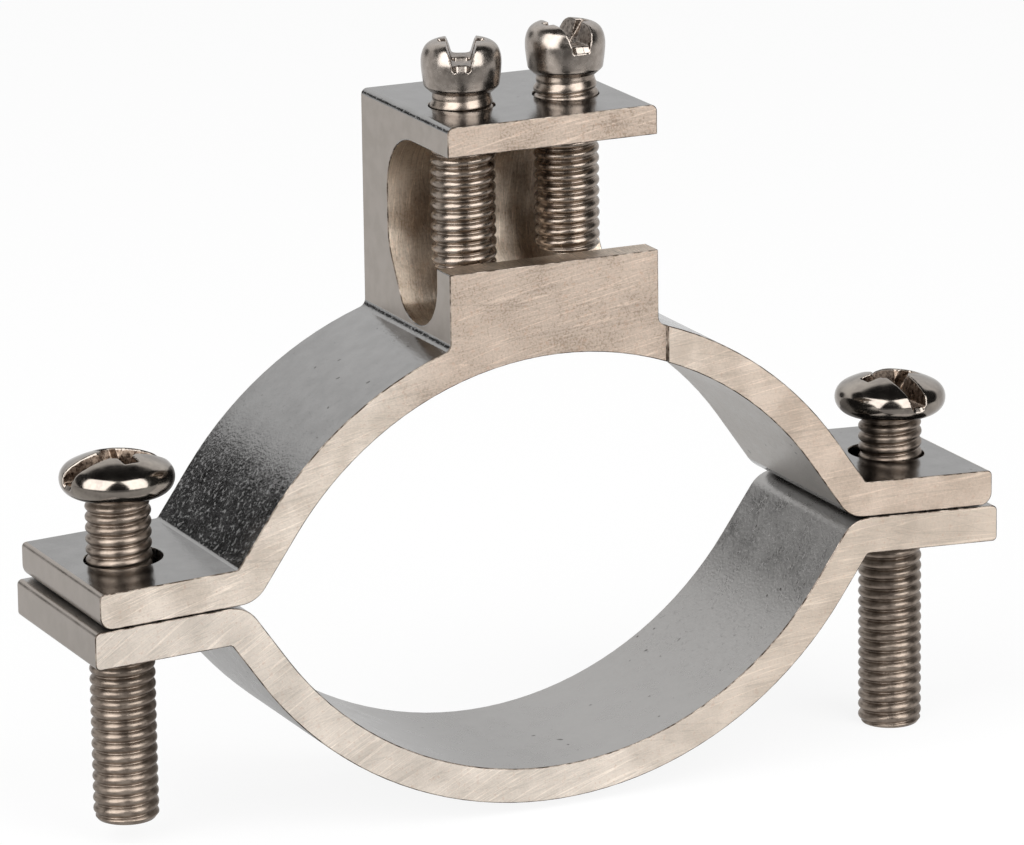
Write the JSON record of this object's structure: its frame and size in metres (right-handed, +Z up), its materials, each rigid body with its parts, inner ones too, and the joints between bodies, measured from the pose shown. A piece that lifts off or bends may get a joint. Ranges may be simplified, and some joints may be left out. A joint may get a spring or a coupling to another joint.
{
  "type": "pipe grounding clamp",
  "caption": "Two-part grounding clamp that grips a metal pipe between two arched halves and holds an earthing conductor under screws in a block on top.",
  "frame": {"origin": "on the pipe's axis, level with the joint between the two halves where the clamp screws pass through it", "axes": "+Y along the pipe, from the open front of the terminal to its back wall; +X along the ears, to the right seen from the front; +Z up through the terminal block"},
  "size_m": [0.0892, 0.019, 0.0705],
  "materials": {
    "plated_brass": "sawn brass profile, nickel plated, satin",
    "plated_steel": "steel screw, nickel plated, glossy"
  },
  "bodies": {
    "upper_half": {"upper_half": "plated_brass"},
    "lower_half": {"lower_half": "plated_brass"},
    "clamp_screw_left": {"clamp_screw_left": "plated_steel"},
    "clamp_screw_right": {"clamp_screw_right": "plated_steel"},
    "terminal_screw_left": {"terminal_screw_left": "plated_steel"},
    "terminal_screw_right": {"terminal_screw_right": "plated_steel"}
  },
  "joints": [
    {"name": "clamp_opening", "type": "slide", "parent": "lower_half", "child": "upper_half", "axis": [0, 0, 1], "range_m": [0, 0.016]},
    {"name": "clamp_screw_left_travel", "type": "slide", "parent": "upper_half", "child": "clamp_screw_left", "axis": [0, 0, 1], "range_m": [-0.0056, 0.002]},
    {"name": "clamp_screw_right_travel", "type": "slide", "parent": "upper_half", "child": "clamp_screw_right", "axis": [0, 0, 1], "range_m": [-0.0034, 0.004]},
    {"name": "terminal_screw_left_travel", "type": "slide", "parent": "upper_half", "child": "terminal_screw_left", "axis": [0, 0, 1], "range_m": [-0.0012, 0.01]},
    {"name": "terminal_screw_right_travel", "type": "slide", "parent": "upper_half", "child": "terminal_screw_right", "axis": [0, 0, 1], "range_m": [-0.0018, 0.01]}
  ]
}
